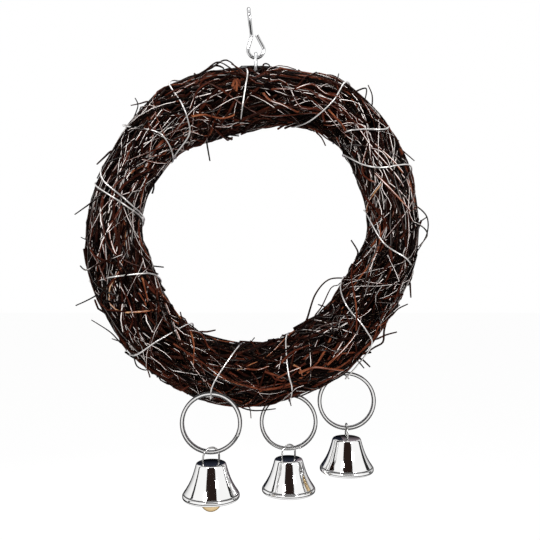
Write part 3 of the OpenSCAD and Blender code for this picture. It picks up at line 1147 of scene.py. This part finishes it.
@dataclass
class OwnShoots:
    """The shoots that each have their own course: some spring off the bundle, some lie on it.

    A shoot is given by its tone, its diameter and the places that it goes through. A place has two
    angles and, where it isn't the group's usual one, how far it stands off the bundle.
    """

    shape: BundleShape
    clearings: Clearings
    seed: int = 41
    springing_lift: float = 0.0
    lying_lift: float = 0.3
    tucked_below: float = 1.0
    root_depth: float = 2.6
    step: float = 1.8
    taper: float = 0.4
    corners: int = 6
    springing: tuple = (
        (0.3, 1.2, (166, -60), (169.2, -37, 0.5), (173.6, -8, 7.2)),
        (0.3, 1.2, (-165, -120), (-161, -98, 0.6), (-158.9, -20, 1.1), (-158.6, 0, 13.4)),
        (0.4, 0.9, (-141, -20), (-146.4, 0, 2.4), (-152.7, 0, 8.6)),
        (0.2, 1.3, (117, 190), (118.2, 180, 1.4), (121.8, 180, 11.6)),
        (0.3, 1.0, (137, 8), (132.4, 0, 2.7), (131.4, 0, 7.2)),
        (0.6, 1.1, (129, -5), (131.5, 4, 3.5), (134, 0, 6.0)),
        (0.5, 1.1, (68, 5), (65.1, 0, 1.6), (62.4, 0, 1.4), (58, -6)),
        (0.4, 1.0, (48, 0), (50.3, 0, 4.7), (53.2, 0, 7.4)),
        (0.4, 1.3, (-14, 180), (-9.4, 180, 1.1), (-3, 180, 8.1)),
        (0.4, 1.3, (-66, 180), (-60, 180, 0.5), (-45.4, 180, 9.5), (-31.9, 180, 7.5), (-26, 180)),
        (0.5, 0.9, (-54, 175), (-47, 180, 2.0), (-35.2, 180, 3.7), (-31.3, 180, 0.9), (-28, 180)),
        (0.5, 1.2, (-46, -160), (-42.3, -160, 1.2), (-34.1, -163, 1.0), (-30, -150)),
        (0.3, 0.9, (10, 0), (6, 0, 5.2), (0.5, 0, 5.0), (-6.3, -32, 0.5), (-10, -50)),
        (0.5, 1.1, (-31, 0), (-27.5, 0, 1.3), (-24.4, 0, 4.9)),
        (0.5, 1.3, (-41, 0), (-37.5, 0, 3.5), (-34.5, 0, 7.9)),
        (0.5, 1.4, (-34, 8), (-36.8, 0, 1.2), (-40.1, 0, 4.4), (-43.2, 0, 2.5), (-47, -10)),
        (0.3, 1.3, (-51.5, -30), (-51, -12, 0.5), (-50.9, 0, 5.8)),
        (0.4, 1.4, (-49.9, -14), (-49.4, 0, 2.1), (-49.1, 0, 8.0)),
        (0.5, 0.9, (-92.5, -25), (-91.9, 0, 1.5), (-91.5, 0, 7.1)),
        (0.2, 1.0, (-95, -12), (-90.3, -8, 2.2), (-83.4, -8, 2.9)),
        (0.6, 1.1, (-78.4, -50), (-78.4, -31, 0.6), (-78.3, -14, 3.5)),
        (0.4, 1.1, (111, -40), (107, -27, 1.0), (102.3, 0, 4.8), (98.1, -42, 0.6), (95, -60)),
        (0.4, 1.1, (108, -25), (104.9, -16, 1.2), (99.7, 0, 5.2), (95.4, -51, 0.5), (93, -70)),
        (0.3, 1.2, (101, -15), (103.5, -5, 2.5), (107.5, -30, 0.8), (110, -50)),
        (0.4, 1.4, (-171, -110), (-169, -70, 1.2), (-168, -30, 1.4), (-170, 0, 4.6)),
        (0.5, 1.4, (150, -30), (153, -15, 1.5), (156, 0, 4.4)),
        (0.5, 1.4, (-17, 0), (-19, 0, 1.8), (-22, 0, 4.6)),
        (0.5, 1.0, (31, 10), (28, 0, 1.6), (25, -8, 3.8)),
        (0.5, 1.4, (-120, -175), (-117, 178, 1.5), (-113, 176, 4.4)),
        (0.6, 1.2, (60, -178), (56, 180, 1.6), (52, 180, 4.2)),
        (0.3, 1.1, (55, -39), (53.1, 0, 5.1), (51, -31)),
        (0.3, 1.0, (62.6, -41), (64.8, 0, 1.4)),
        (0.3, 1.0, (62, -39), (62.8, 0, 3.9)),
        (0.2, 1.1, (-135.1, -36), (-132.2, 0, 2.5), (-129.1, 0, 0.9)),
        (0.3, 1.0, (-141.8, -23), (-144.2, 0, 3.5)),
        (0.4, 1.1, (87.8, -27), (86.6, 0, 2.1), (84.4, -30)),
        (0.3, 1.2, (0.7, -55), (4.5, 0, 0.9), (6, 0, 5.2)),
        (0.3, 1.1, (4.3, -49), (2.4, 0, 3.2), (-0.3, 0, 5.1), (-4.8, -29)),
        (0.3, 1.0, (53.4, -90), (49.6, -98), (44.7, -118)),
    )
    lying: tuple = (
        (0.86, 1.6, (-72.2, -83), (-70.5, -83), (-66, -80), (-61.2, -63), (-57.1, -38)),
        (0.84, 1.1, (-158.5, -131), (-152.7, -128), (-147.8, -123)),
        (0.8, 1.0, (-152.8, -115), (-149.7, -117), (-146.7, -117)),
        (0.86, 1.2, (-123.7, -152), (-118.8, -128), (-115.6, -100)),
        (0.7, 1.2, (-124.4, -153), (-118.3, -163), (-112.3, -137), (-106.5, -131)),
        (0.6, 1.7, (-123.5, -48), (-116.7, -53), (-107.7, -59)),
        (0.5, 1.2, (96, -174), (92.9, -152), (87.7, -144), (82.8, -150), (80, -170)),
        (0.84, 2.0, (98.6, -80), (97.8, -72, 0.8), (96.5, -70, 0.6), (95.9, -76)),
        (0.74, 1.8, (98.3, -84), (97.0, -80, 1.4), (96.0, -82, 0.4)),
        (0.88, 1.5, (97.4, -88, 0.2), (96.9, -77, 1.8), (97.6, -68)),
        (0.62, 1.4, (98.7, -84), (96.5, -76), (94.8, -68)),
        (0.7, 1.2, (117.5, -98), (111.9, -74), (107.1, -64), (103.3, -62)),
        (0.6, 1.1, (92, -91), (90, -94), (88.5, -87)),
        (0.8, 1.5, (86.5, -98), (83.7, -110), (78, -119), (70.9, -132)),
        (0.5, 1.3, (109.1, -110), (99.5, -100), (95.3, -99)),
        (0.7, 1.3, (83.3, -91), (80.3, -89), (75.1, -87), (70.7, -74)),
        (0.75, 1.6, (74.3, -86), (69.1, -71), (63.6, -83), (58.7, -78)),
        (0.6, 1.3, (72.5, -90), (62.4, -111), (50.8, -129), (44, -125)),
        (0.65, 1.4, (69.1, -85), (62.2, -98), (56.6, -100), (44.7, -94)),
        (0.8, 1.2, (59.3, -110), (52.7, -117), (48.6, -122)),
        (0.5, 1.1, (59.3, -83), (55.9, -100), (53.9, -110)),
        (0.9, 1.4, (118.1, -111), (113, -115), (106.6, -127), (100.4, -127)),
        (0.5, 1.1, (109.7, -116), (113.4, -134), (115.5, -155)),
        (0.6, 1.2, (36.2, -101), (32.7, -87), (28.9, -83), (26.6, -84)),
        (0.85, 1.5, (26.3, -115), (18.7, -97), (8.7, -61)),
        (0.6, 1.3, (18.5, -160), (9, -126), (2.4, -110)),
        (0.5, 1.1, (-2.7, -170), (-9.4, -118)),
        (0.5, 1.0, (28.3, -153), (31.2, -125), (31.9, -112)),
        (0.7, 1.3, (185.6, -51), (190.2, -64), (197.3, -70)),
        (0.7, 1.2, (-158.1, -92), (-152.3, -94), (-145.9, -89)),
        (0.6, 1.2, (-130.1, -67), (-126.1, -67), (-123.2, -63)),
        (0.8, 1.3, (-98.4, -118), (-94.3, -110), (-88.8, -107), (-84.5, -110)),
        (0.75, 1.2, (-81, -87), (-75.9, -91), (-71.6, -91)),
        (0.7, 1.3, (-78.2, -111), (-72.8, -122), (-63.8, -117)),
        (0.8, 1.5, (-61.1, -72), (-51.9, -76), (-45.5, -79)),
        (0.6, 1.1, (-91.3, -102), (-89.3, -90), (-88.6, -78)),
        (0.9, 1.2, (-73.6, -99), (-71.7, -89), (-71.8, -76)),
    )

    def build(self, finishes: Finishes) -> None:
        """Builds both groups of shoots.

        Args:
            finishes: The finishes to use.
        """
        maker = TwigMaker(self.shape, self.clearings, self.seed)
        for name, shoots, lift in (
            ("springing_shoots", self.springing, self.springing_lift),
            ("lying_shoots", self.lying, self.lying_lift),
        ):
            whole = bmesh.new()
            for tone, diameter, *places in shoots:
                places = [(*place, lift)[:3] for place in places]
                added(whole, self.shoot(maker, places, diameter, tone))
            placed(name, whole, finishes["vine_bark"], Body.WREATH.value)

    def shoot(
        self, maker: TwigMaker, places: list[tuple], diameter: float, tone: float
    ) -> BMesh:
        """Makes one shoot, whose ends run into the bundle where they do not stand off it.

        Args:
            maker: The maker of twigs.
            places: The two angles and the stand-off of each place on it.
            diameter: Its diameter at the root.
            tone: How light its bark is, from 0 to 1.

        Returns:
            Its shape.
        """
        course = [(*places[0][:2], -self.root_depth), *places]
        if places[-1][2] < self.tucked_below:
            course.append((*places[-1][:2], -self.root_depth))
        line = smoothed([self.shape.place(a, side, 1.0, out) for a, side, out in course], self.step)
        last = len(line) - 1
        radii = [diameter / 2 * (1 - self.taper * i / last) for i in range(last + 1)]
        return maker.twig(line, radii, self.corners, tone)


@dataclass
class BindingWire:
    """The thin wire that is wound round the whole bundle and carries the split rings.

    A turn is given by the places that it crosses on the front, from the outer to the inner edge:
    two angles and, where it isn't the usual one, the height over the twigs. The ends are given in
    the same way, with the first angle counted from the wire's first or last place on the front.
    """

    shape: BundleShape
    pivots: tuple
    wire_d: float = 0.9
    lift: float = 0.75
    rest_half: float = 2.3
    step: float = 1.5
    corners: int = 10
    ring_turns: tuple = (3, 4, 5)
    back_sides: tuple = (150, 105, 60)
    brow: float = 10
    brow_below: float = -20
    start: tuple = ((-4, 40, -2.5), (-2, 15))
    end: tuple = ((3, 150), (5, 120, -2.5))
    turns: tuple = (
        ((163.2, -40), (167.0, -110), (171.5, -165)),
        ((-164.4, -4), (-163.0, -83), (-160.8, -130), (-158.8, -156), (-156.1, -176)),
        ((-134.9, -41), (-132.1, -98), (-126.8, -168)),
        ((-105.4, -79), (-99.7, -143)),
        ((-78.4, -4), (-76.6, -61), (-76.6, -93), (-73.6, -159)),
        ((-44.3, -26), (-41.1, -69), (-38.5, -120), (-32.8, -156), (-26.5, -176)),
        ((-9.8, -59), (-4.2, -114), (11.2, -169)),
        ((24.5, -37), (27.7, -101), (33.1, -133), (42.1, -170)),
        ((38.9, -55), (44.1, -95), (48.6, -125)),
        ((59.5, -33), (59.6, -92), (63.4, -138), (68.8, -171)),
        ((93.4, 12, -1.8), (93.0, -34, -1.3), (92.8, -63), (94.6, -98), (96.6, -127)),
        ((119.8, -23), (119.5, -85), (120.7, -113), (123.9, -138), (135.4, -163)),
        ((140.4, -30), (134.4, -98), (133.6, -125), (136.5, -161)),
        ((160.0, -50), (165.1, -114), (170.5, -171)),
    )

    def build(self, finishes: Finishes) -> None:
        """Builds the wire.

        Args:
            finishes: The finishes to use.
        """
        shape = wire(smoothed(self.controls(), self.step), self.wire_d, self.corners)
        body = Body.WREATH.value
        placed("wound_wire", shape, finishes["tie_wire_steel"], body, ["binding_wire"])

    def controls(self) -> list[Vector]:
        """Gives the places that the wire goes through, from its first tucked end to its last.

        Returns:
            The places.
        """
        first, last = self.turns[0][0][0], self.turns[-1][-1][0]
        points = [self.surface(first + apart, *rest) for apart, *rest in self.start]
        for number, turn in enumerate(self.turns):
            if number:
                points += self.behind(self.turns[number - 1][-1][0], turn[0], number)
            points += [self.surface(*place) for place in turn]
        return points + [self.surface(last + apart, *rest) for apart, *rest in self.end]

    def surface(self, around: float, side: float, lift: Optional[float] = None) -> Vector:
        """Gives a place on the twigs, at the wire's own height over them or another."""
        return self.shape.place(around, side, 1.0, self.lift if lift is None else lift)

    def behind(self, before: float, front: tuple, number: int) -> list[Vector]:
        """Gives the places of a turn behind the bundle, and over a split ring where it carries one.

        Args:
            before: The angle round the wreath where the turn before ended.
            front: The first place on the front.
            number: The turn's number.

        Returns:
            The places.
        """
        apart = (front[0] - before + 180) % 360 - 180
        *back, brow = (
            self.surface(before + apart * (180 - side) / (180 - front[1]), side)
            for side in (*self.back_sides, self.brow)
        )
        if number not in self.ring_turns:
            return back + [brow] if front[1] < self.brow_below else back
        pivot = self.pivots[self.ring_turns.index(number)]
        along = Vector((0, self.rest_half, 0))
        back = back + [brow] if pivot.y < 0 else back[:2]
        return back + [pivot + along, pivot, pivot - along]


@dataclass
class Hanger:
    """The wire hook for the cage bar and the closed ring below it."""

    wire_d: float = 2.0
    crook_inner_r: float = 4.5
    crook_angles: tuple = (-30, 212)
    crook_steps: int = 22
    eye_drop: float = 22.7
    eye_offset: float = 4.2
    eye_r: float = 4.6
    eye_angles: tuple = (165, 375)
    eye_steps: int = 14
    neck_shares: tuple = (0.4, 0.64)
    tip_shares: tuple = (1.1, 0.61)
    shank_shares: tuple = (1 / 3, 2 / 3, 9 / 10)
    bend_shares: tuple = (1 / 9, 1 / 2)
    link_r: float = 6.25
    link_wire_d: float = 1.8
    link_steps: int = 72
    step: float = 0.9
    corners: int = 20

    def build(self, finishes: Finishes, link_centre: Vector) -> None:
        """Builds the hook and the hanging ring.

        Args:
            finishes: The finishes to use.
            link_centre: The middle of the hanging ring.
        """
        first = Vector((1, 0, 0))
        line = smoothed(self.hook_line(), self.step)
        hook = wire(line, self.wire_d, self.corners, first=first)
        turned = [math.tau * i / self.link_steps for i in range(self.link_steps)]
        circle = [link_centre + self.link_r * Vector((0, math.sin(a), math.cos(a))) for a in turned]
        ring = wire(circle, self.link_wire_d, self.corners, closed=True, first=first)
        for name, shape, finish, body, node in (
            ("hook", hook, "hook_steel", Body.HANGER, "hanging_hook"),
            ("link_ring", ring, "hanging_ring_zinc", Body.LINK, "hanging_ring"),
        ):
            placed(name, shape, finishes[finish], body.value, [node])

    def hook_line(self) -> list[Vector]:
        """Gives the hook's wire from the tip of its crook to the tip of its eye.

        Returns:
            Places on the wire.
        """
        crook_r = self.crook_inner_r + self.wire_d / 2
        crook = arc((0, -self.crook_inner_r), crook_r, self.crook_angles, self.crook_steps)
        crook = [Vector((0, y, z)) for y, z in crook]
        neck, tip = (
            Vector((self.eye_offset * across, 0, -self.eye_drop * down))
            for across, down in (self.neck_shares, self.tip_shares)
        )
        shank = crook + [crook[-1].lerp(neck, share) for share in self.shank_shares]
        for point in shank:
            point.x = neck.x * max(0.0, -point.z) / -neck.z
        eye = arc((self.eye_offset, -self.eye_drop), self.eye_r, self.eye_angles, self.eye_steps)
        eye = [Vector((x, 0, z)) for x, z in eye]
        bend = [neck.lerp(eye[0], share) for share in self.bend_shares]
        return shank + bend + eye + [eye[-1].lerp(tip, 0.5), tip]


@dataclass
class SplitRing:
    """A ring of two turns of flattened wire."""

    side: Side
    opens_at: tuple = (294, 252, 72)
    outer_d: float = 35.0
    band: float = 2.3
    thick: float = 1.15
    room: float = 0.45
    seat_gap: float = 0.3
    wire_d: float = 0.9
    turned: tuple = (40, 690)
    jog: tuple = (330, 60)
    step_angle: float = 5.0
    corners: int = 14
    squareness: float = 0.62

    def build(self, finishes: Finishes) -> None:
        """Builds the ring.

        Args:
            finishes: The finishes to use.
        """
        side = self.side.value
        drop = self.outer_d / 2 - self.band - self.seat_gap - self.wire_d / 2
        centre = joint_place(f"ring_{side}_swing") - Vector((0, 0, drop))
        middle_r = (self.outer_d - self.band) / 2
        first, last = self.turned
        jog, jog_span = self.jog
        start = dict(zip(Side, self.opens_at))[self.side] - jog - jog_span / 2
        count = round((last - first) / self.step_angle)
        line = []
        for i in range(count + 1):
            turned = first + (last - first) * i / count
            angle = math.radians(start + turned)
            share = min(1.0, max(0.0, (turned - jog) / jog_span))
            layer = (self.thick + self.room) * (share * share * (3 - 2 * share) - 0.5)
            offset = Vector((middle_r * math.cos(angle), layer, middle_r * math.sin(angle)))
            line.append(centre + offset)
        section = bar_section(self.thick / 2, self.band / 2, self.corners, self.squareness)
        coil = rolled_tube(line, [1.0] * len(line), section, first=Vector((0, 1, 0)))
        finish, nodes = finishes["split_ring_steel"], [f"split_ring_{side}"]
        placed(f"ring_coil_{side}", coil, finish, f"ring_{side}", nodes)


@dataclass
class Bell:
    """A pressed bell with its bail and clapper.

    Its outline is in shares of the mouth's radius and of the height, from the crown down. A line of
    painted shade, standing in for dark reflection at the groove and the lip's edge, is given by its
    share of the height and its strength, and lies outside the rim share.
    """

    side: Side
    mouth_d: float = 32.4
    height: float = 19.5
    wall: float = 0.8
    bail_d: float = 1.1
    bail_r: float = 5.4
    bail_rise: float = 8.9
    bail_dip: float = 1.5
    bail_seat: float = 2.4
    bail_corners: int = 12
    arch_steps: int = 12
    corner_share: float = 0.12
    dip_shares: tuple = (0.42, 0.3)
    rest_gap: float = 0.05
    step: float = 0.5
    spin_steps: int = 96
    # The height share and strength of each painted shade line.
    painted_shade_lines: tuple = ((0.862, 1.0), (1.0, 0.9))
    painted_shade_half: float = 0.014
    rim_share: float = 0.45
    outline: tuple = (
        (0.47, 0.0), (0.505, 0.012), (0.53, 0.045), (0.545, 0.09), (0.6, 0.25), (0.675, 0.43),
        (0.755, 0.58), (0.835, 0.7), (0.895, 0.78), (0.932, 0.825), (0.95, 0.85), (0.945, 0.868),
        (0.972, 0.882), (0.992, 0.905), (0.997, 0.945), (0.992, 0.98), (0.972, 1.0),
    )

    def __post_init__(self) -> None:
        """Works out the bell's places from its sizes and its joints."""
        self.pivot = joint_place(f"bell_{self.side.value}_swing")
        self.crown = self.bail_seat + self.bail_d / 2 - self.bail_rise

    def build(self, finishes: Finishes) -> None:
        """Builds the bell, its bail and the finish of its clapper.

        Args:
            finishes: The finishes to use.
        """
        side = self.side.value
        for name, shape, finish, slot, node in (
            ("bell_cup", self.cup(), "bell_nickel", "bell_nickel", "bell_shell"),
            ("bail", self.bail(), "bail_steel", "ring_steel", "bell_bail"),
        ):
            nodes = [f"{node}_{side}"]
            placed(f"{name}_{side}", shape, finishes[finish], f"bell_{side}", nodes)
        for node, finish in (("wire", "clapper_wire_steel"), ("ball", "clapper_brass")):
            mesh = frame["nodes"][f"clapper_{node}_{side}"].data
            mesh.materials.clear()
            mesh.materials.append(finishes[finish])

    def cup(self) -> BMesh:
        """Makes the pressed cup: a flat crown, a sloping side, a flared lip and the wall inside.

        Returns:
            Its shape.
        """
        radius, low = self.mouth_d / 2, self.crown - self.wall
        outer = [Vector((r * radius, 0, self.crown - z * self.height)) for r, z in self.outline]
        outer = smoothed(outer, self.step)
        inner = [Vector((p.x - self.wall, 0, min(p.z, low))) for p in reversed(outer)]
        outline = [(0.0, self.crown)] + [(p.x, p.z) for p in outer + inner] + [(0.0, low)]
        bm = turned_shape(outline, self.pivot, self.spin_steps)
        # Painted shade: dark lines at the groove above the lip and round the lip's lower edge.
        painted_shade = bm.verts.layers.float.new("painted_shade")
        rim = self.mouth_d * self.rim_share
        for vert in bm.verts:
            offset = vert.co / MM - self.pivot
            drop = (self.crown - offset.z) / self.height
            for line, strength in self.painted_shade_lines:
                if abs(drop - line) < self.painted_shade_half and math.hypot(offset.x, offset.y) > rim:
                    vert[painted_shade] = strength
        return bm

    def bail(self) -> BMesh:
        """Makes the wire loop over the crown, with the dipped crossbar below it.

        Returns:
            Its shape.
        """
        r = self.bail_r
        corner, dip = r * self.corner_share, r * self.dip_shares[0]
        low = self.crown - self.wall - self.rest_gap - self.bail_d / 2
        arch = arc((0, self.bail_seat - r), r, (0, 180), self.arch_steps)
        under = [
            (-r, low + 2 * corner), (-r, low + corner), (-r + corner / 3, low + corner / 3),
            (-r + corner, low), (-dip, low), (-dip * self.dip_shares[1], low - self.bail_dip),
        ]
        under += [(-across, z) for across, z in reversed(under)]
        along = Vector(joint(f"clapper_{self.side.value}_swing")["axis"]).normalized()
        line = [self.pivot + along * across + Vector((0, 0, z)) for across, z in arch + under]
        line = smoothed(line, self.step, closed=True)
        normal = along.cross(Vector((0, 0, 1)))
        return wire(line, self.bail_d, self.bail_corners, closed=True, first=normal)


@dataclass(frozen=True)
class Lamp:
    """A soft square lamp that points at the middle of the swing."""

    name: str
    place: tuple
    size: float
    watts: float
    reflected: bool = True


@dataclass(frozen=True)
class Flag:
    """A dark panel that stands round the swing only for bright metal to reflect.

    Its angles are measured from the camera's side, and less than nought is to the left. Its heights
    and distances are those of its lower and its upper edge.
    """

    name: str
    angles: tuple
    heights: tuple
    far: tuple
    colour: tuple
    steps: int = 16

    def panel(self) -> BMesh:
        """Bends a flat grid round the swing.

        Returns:
            The panel's shape.
        """
        bm = bmesh.new()
        bmesh.ops.create_grid(bm, x_segments=self.steps, y_segments=1, size=1.0)
        for vert in bm.verts:
            across, up = (vert.co.x + 1) / 2, (vert.co.y + 1) / 2
            angle, height, far = (
                ends[0] + (ends[1] - ends[0]) * share
                for ends, share in ((self.angles, across), (self.heights, up), (self.far, up))
            )
            angle = math.radians(angle)
            vert.co = Vector((far * math.sin(angle), -far * math.cos(angle), height)) * MM
        return bm


@dataclass(frozen=True)
class Studio:
    """The pale room, the lamps, the dark panels and the camera."""

    floor_z: float = -470.0
    floor_size: float = 9000.0
    floor_colour: tuple = (0.85, 0.85, 0.85, 1.0)
    floor_glow: float = 1.07
    floor_glow_share: float = 0.9
    aim: tuple = (4.0, 0.0, -145.0)
    camera_place: tuple = (12.52, -385.0, -152.06)
    camera_clip: float = 0.01
    lens: float = 43.65
    world_strength: float = 0.2
    lamps: tuple = (
        Lamp("front_lamp", (-30.0, -600.0, -20.0), 90.0, 2.0, False),
        Lamp("key_lamp", (-300.0, -620.0, 330.0), 150.0, 2.5),
        Lamp("fill_lamp", (430.0, -560.0, 60.0), 150.0, 2.3),
        Lamp("top_lamp", (60.0, 160.0, 640.0), 300.0, 1.5),
        Lamp("back_lamp", (-160.0, 640.0, 60.0), 220.0, 2.2, False),
    )
    flags: tuple = (
        Flag("front_flag", (-24, 32), (-150.0, 900.0), (700.0, 700.0), (0.02, 0.012, 0.01)),
        Flag("left_flag", (-94, -84), (-465.0, 900.0), (900.0, 900.0), (0.02, 0.02, 0.02)),
        Flag("right_flag", (100, 118), (-465.0, 900.0), (900.0, 900.0), (0.02, 0.02, 0.02)),
        Flag("back_flag_right", (142, 172), (-465.0, 380.0), (900.0, 900.0), (0.46, 0.38, 0.43)),
        Flag("back_flag_left", (172, 218), (-465.0, 380.0), (900.0, 900.0), (0.04, 0.045, 0.07)),
        Flag("low_flag", (-180, 180), (-467.0, -466.0), (380.0, 780.0), (0.03, 0.03, 0.03), 32),
        Flag("high_flag", (-180, 180), (1150.0, 1250.0), (260.0, 260.0), (0.02, 0.02, 0.02), 32),
    )

    def build(self) -> None:
        """Builds the camera, the lamps, the floor and the world."""
        self.camera()
        for lamp in self.lamps:
            self.lamp(lamp)
        for flag in self.flags:
            self.flag(flag)
        self.floor()
        self.world()

    def flag(self, flag: Flag) -> None:
        """Stands one dark panel where only reflections see it.

        Args:
            flag: The panel.
        """
        material, nodes = new_material(flag.name)
        cloth = nodes.add("Emission", {0: (*flag.colour, 1.0), 1: 1.0}).outputs[0]
        nodes.add("OutputMaterial", {0: cloth})
        panel = dressed(flag.name, flag.panel(), material)
        panel.visible_camera = panel.visible_diffuse = panel.visible_shadow = False

    def camera(self) -> None:
        """Sets the camera level, where the whole swing fills the square frame."""
        data = bpy.data.cameras.new("camera")
        data.lens = self.lens
        data.clip_start = self.camera_clip
        camera = linked("camera", data)
        place = Matrix.Translation(Vector(self.camera_place) * MM)
        camera.matrix_world = place @ Matrix.Rotation(math.pi / 2, 4, "X")
        bpy.context.scene.camera = camera

    def lamp(self, lamp: Lamp) -> None:
        """Hangs one lamp.

        Args:
            lamp: Its place, size and power.
        """
        data = bpy.data.lights.new(lamp.name, "AREA")
        data.size = lamp.size * MM
        data.energy = lamp.watts
        holder = linked(lamp.name, data)
        holder.visible_glossy = lamp.reflected
        holder.location = Vector(lamp.place) * MM
        towards = Vector(self.aim) - Vector(lamp.place)
        holder.rotation_euler = towards.to_track_quat("-Z", "Y").to_euler()

    def floor(self) -> None:
        """Lays a pale floor that the camera sees as white, with a faint shadow."""
        bm = bmesh.new()
        bmesh.ops.create_grid(bm, x_segments=1, y_segments=1, size=self.floor_size * MM / 2)
        bmesh.ops.translate(bm, verts=bm.verts[:], vec=(0, 0, self.floor_z * MM))
        material, nodes = new_material("pale_floor")
        white = nodes.seen_by("Is Camera Ray", "Is Glossy Ray")
        share = nodes.math("MULTIPLY", white, self.floor_glow_share)
        glow = nodes.add("Emission", {0: WHITE, 1: self.floor_glow}).outputs[0]
        pale = nodes.add("BsdfDiffuse", {0: self.floor_colour}).outputs[0]
        mixed = nodes.add("MixShader", {0: share, 1: pale, 2: glow}).outputs[0]
        nodes.add("OutputMaterial", {0: mixed})
        dressed("floor", bm, material)

    def world(self) -> None:
        """Makes the air a plain soft light that looks white behind the swing."""
        world = bpy.data.worlds.new("studio_air")
        world.use_nodes = True
        nodes = Nodes(world.node_tree)
        white = nodes.seen_by("Is Camera Ray", "Is Glossy Ray", "Is Transmission Ray")
        strength = nodes.add("Mix", {0: white, 2: self.world_strength, 3: 1.0}).outputs[0]
        air = nodes.add("Background", {0: WHITE, 1: strength}).outputs[0]
        nodes.add("OutputWorld", {0: air})
        bpy.context.scene.world = world


def main() -> None:
    """Builds the swing's looks and the studio, and reports each piece."""
    logging.basicConfig(level=logging.INFO, format="%(message)s")
    bpy.context.scene.view_settings.view_transform = "Standard"
    Studio().build()
    finishes = all_finishes()
    hanger = Hanger()
    link_centre = joint_place("wreath_on_link") + Vector((0, 0, hanger.link_r))
    pivots = tuple(joint_place(f"ring_{side.value}_swing") for side in Side)
    shape = BundleShape()
    clearings = Clearings(link_centre, hanger.link_r, pivots)
    hanger.build(finishes, link_centre)
    Wreath(shape, clearings).build(finishes)
    OwnShoots(shape, clearings).build(finishes)
    BindingWire(shape, pivots).build(finishes)
    for side in Side:
        SplitRing(side).build(finishes)
        Bell(side).build(finishes)


if __name__ == "__main__":
    main()
